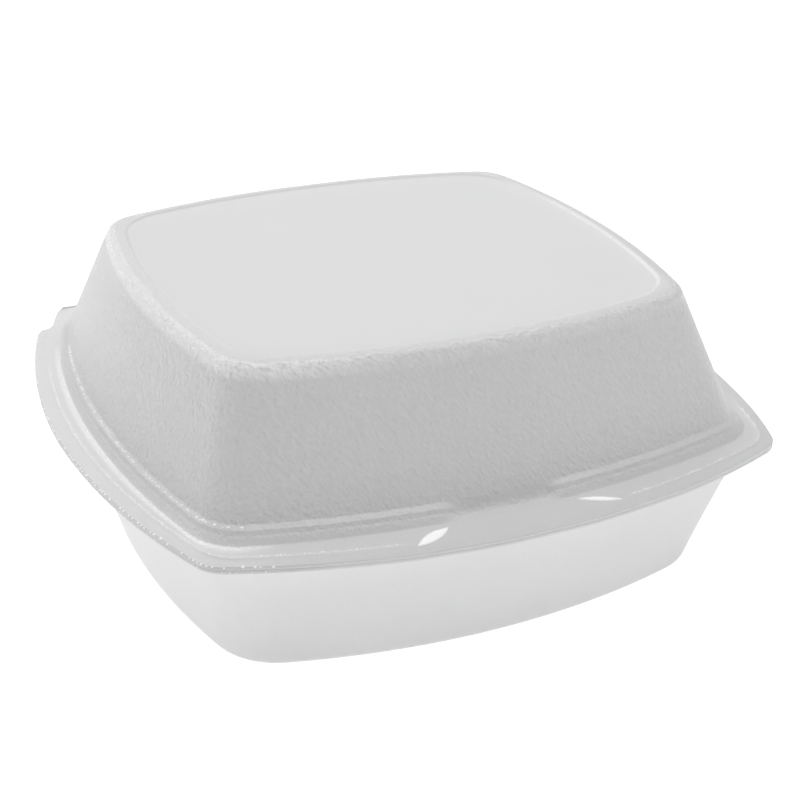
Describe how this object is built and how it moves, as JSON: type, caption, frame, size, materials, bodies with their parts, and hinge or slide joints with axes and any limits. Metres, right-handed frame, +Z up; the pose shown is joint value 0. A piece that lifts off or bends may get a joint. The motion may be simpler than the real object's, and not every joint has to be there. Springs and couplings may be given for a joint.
{
  "type": "foam clamshell container",
  "caption": "Square foam food container with a deep tray and a hinged lid that closes on a shared rim with a front lock tab.",
  "frame": {"origin": "on the underside of the tray, below the middle of the lid", "axes": "+Z up, the lock tab on the front at -Y, the hinge crease along X at the back at +Y, modelled closed"},
  "size_m": [0.152, 0.1424, 0.0629],
  "materials": {
    "tray_foam": "white expanded polystyrene sheet, smooth satin skin",
    "lid_foam": "white expanded polystyrene sheet, finely pimpled skin"
  },
  "bodies": {
    "tray": {"base_tray": "tray_foam"},
    "lid": {"hinged_lid": "lid_foam"}
  },
  "joints": [
    {"name": "hinge_crease", "type": "hinge", "parent": "tray", "child": "lid", "pos_m": [0, 0.0662, 0.03225], "axis": [-1, 0, 0], "range_deg": [0, 180]}
  ]
}
